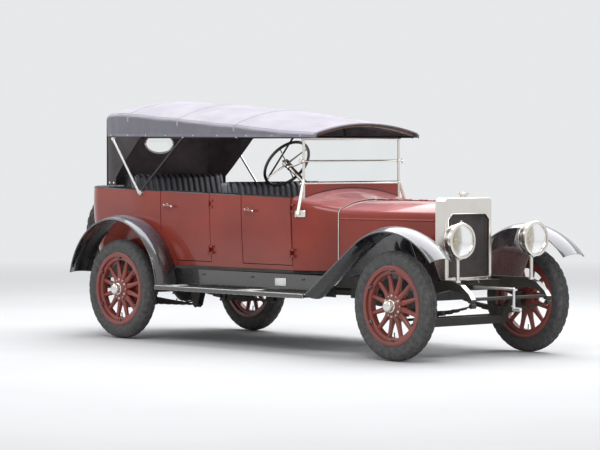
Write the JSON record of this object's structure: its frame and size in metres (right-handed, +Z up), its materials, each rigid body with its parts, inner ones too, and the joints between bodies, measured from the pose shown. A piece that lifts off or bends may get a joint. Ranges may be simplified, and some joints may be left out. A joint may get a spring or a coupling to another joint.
{
  "type": "touring car",
  "caption": "Open four-door touring car on spoked wheels with a raised cloth hood, hinged doors and bonnet, and front wheels that steer.",
  "frame": {"origin": "on the ground, under the middle of the overall length and width", "axes": "+X forward, +Y left, +Z up"},
  "size_m": [4.78, 1.66, 1.972],
  "materials": {
    "body_paint": "gloss",
    "black_enamel": "gloss",
    "chassis_paint": "satin",
    "engine_iron": "rough",
    "nickel": "polished",
    "radiator_core": "dull",
    "seat_leather": "satin",
    "hood_cloth": "woven",
    "hood_iron": "satin",
    "floor_cover": "matt",
    "wheel_wood": "varnished paint",
    "tyre": "dusty",
    "wheel_rim": "gloss",
    "glass": "clear"
  },
  "bodies": {
    "chassis": {"cabin_floor": "floor_cover", "engine_block": "engine_iron", "exhaust": "engine_iron", "frame_rails": "chassis_paint", "front_axle": "chassis_paint", "front_mudguards": "black_enamel", "front_seat_back": "seat_leather", "front_seat_cushion": "seat_leather", "glass_panes": "glass", "hand_levers_and_pedals": "nickel", "headlamps": "nickel", "hood_canvas": "hood_cloth", "hood_irons": "hood_iron", "leaf_springs": "chassis_paint", "radiator_core": "radiator_core", "radiator_shell": "nickel", "rear_axle": "chassis_paint", "rear_mudguards": "black_enamel", "rear_seat_back": "seat_leather", "rear_seat_cushion": "seat_leather", "rear_tub": "body_paint", "running_boards": "black_enamel", "scuttle": "body_paint", "side_pillars": "body_paint", "spare_carrier": "chassis_paint", "spare_tyre": "tyre", "steering_column": "chassis_paint", "windscreen_frame": "nickel"},
    "door_front_left": {"door_front_left": "body_paint"},
    "door_front_right": {"door_front_right": "body_paint"},
    "door_rear_left": {"door_rear_left": "body_paint"},
    "door_rear_right": {"door_rear_right": "body_paint"},
    "bonnet_left": {"bonnet_left": "body_paint"},
    "bonnet_right": {"bonnet_right": "body_paint"},
    "knuckle_left": {"knuckle_left": "chassis_paint"},
    "knuckle_right": {"knuckle_right": "chassis_paint"},
    "track_rod": {"track_rod": "chassis_paint"},
    "road_wheel_front_left": {"tyre_front_left": "tyre", "wheel_front_left": "wheel_wood"},
    "road_wheel_front_right": {"tyre_front_right": "tyre", "wheel_front_right": "wheel_wood"},
    "road_wheel_rear_left": {"tyre_rear_left": "tyre", "wheel_rear_left": "wheel_wood"},
    "road_wheel_rear_right": {"tyre_rear_right": "tyre", "wheel_rear_right": "wheel_wood"},
    "steering_wheel": {"steering_wheel": "wheel_rim"},
    "starting_handle": {"starting_handle": "chassis_paint"}
  },
  "joints": [
    {"name": "steer_right", "type": "hinge", "parent": "chassis", "child": "knuckle_right", "pos_m": [1.79, -0.6, 0.41], "axis": [0, 0, 1], "range_deg": [-28, 28]},
    {"name": "steer_left", "type": "hinge", "parent": "chassis", "child": "knuckle_left", "pos_m": [1.79, 0.6, 0.41], "axis": [0, 0, 1], "range_deg": [-28, 28]},
    {"name": "track_rod_pivot", "type": "hinge", "parent": "knuckle_right", "child": "track_rod", "pos_m": [1.64, -0.6, 0.288], "axis": [0, 0, 1], "range_deg": [-28, 28]},
    {"name": "steering_wheel_turn", "type": "hinge", "parent": "chassis", "child": "steering_wheel", "pos_m": [0.1, -0.285, 1.452], "axis": [-0.8241, 0, 0.5664], "range_deg": [-280, 280]},
    {"name": "front_left_wheel_spin", "type": "hinge", "parent": "knuckle_left", "child": "road_wheel_front_left", "pos_m": [1.79, 0.71, 0.41], "axis": [0, 1, 0], "continuous": true},
    {"name": "front_right_wheel_spin", "type": "hinge", "parent": "knuckle_right", "child": "road_wheel_front_right", "pos_m": [1.79, -0.71, 0.41], "axis": [0, 1, 0], "continuous": true},
    {"name": "rear_left_wheel_spin", "type": "hinge", "parent": "chassis", "child": "road_wheel_rear_left", "pos_m": [-1.47, 0.71, 0.41], "axis": [0, 1, 0], "continuous": true},
    {"name": "rear_right_wheel_spin", "type": "hinge", "parent": "chassis", "child": "road_wheel_rear_right", "pos_m": [-1.47, -0.71, 0.41], "axis": [0, 1, 0], "continuous": true},
    {"name": "front_left_door", "type": "hinge", "parent": "chassis", "child": "door_front_left", "pos_m": [0.49, 0.6011, 0.93], "axis": [0, 0, -1], "range_deg": [0, 70]},
    {"name": "front_right_door", "type": "hinge", "parent": "chassis", "child": "door_front_right", "pos_m": [0.49, -0.6011, 0.93], "axis": [0, 0, 1], "range_deg": [0, 70]},
    {"name": "rear_left_door", "type": "hinge", "parent": "chassis", "child": "door_rear_left", "pos_m": [-0.46, 0.6278, 0.93], "axis": [0, 0, -1], "range_deg": [0, 70]},
    {"name": "rear_right_door", "type": "hinge", "parent": "chassis", "child": "door_rear_right", "pos_m": [-0.46, -0.6278, 0.93], "axis": [0, 0, 1], "range_deg": [0, 70]},
    {"name": "left_bonnet_lid", "type": "hinge", "parent": "chassis", "child": "bonnet_left", "pos_m": [1.29, 0, 1.174], "axis": [1, 0, 0], "range_deg": [0, 70]},
    {"name": "right_bonnet_lid", "type": "hinge", "parent": "chassis", "child": "bonnet_right", "pos_m": [1.29, 0, 1.174], "axis": [-1, 0, 0], "range_deg": [0, 70]},
    {"name": "starting_handle_turn", "type": "hinge", "parent": "chassis", "child": "starting_handle", "pos_m": [2.09, 0, 0.53], "axis": [1, 0, 0], "continuous": true}
  ],
  "couplings": [
    {"joint": "steer_left", "follows": "steer_right", "ratio": 1},
    {"joint": "track_rod_pivot", "follows": "steer_right", "ratio": -1},
    {"joint": "steering_wheel_turn", "follows": "steer_right", "ratio": 10}
  ]
}
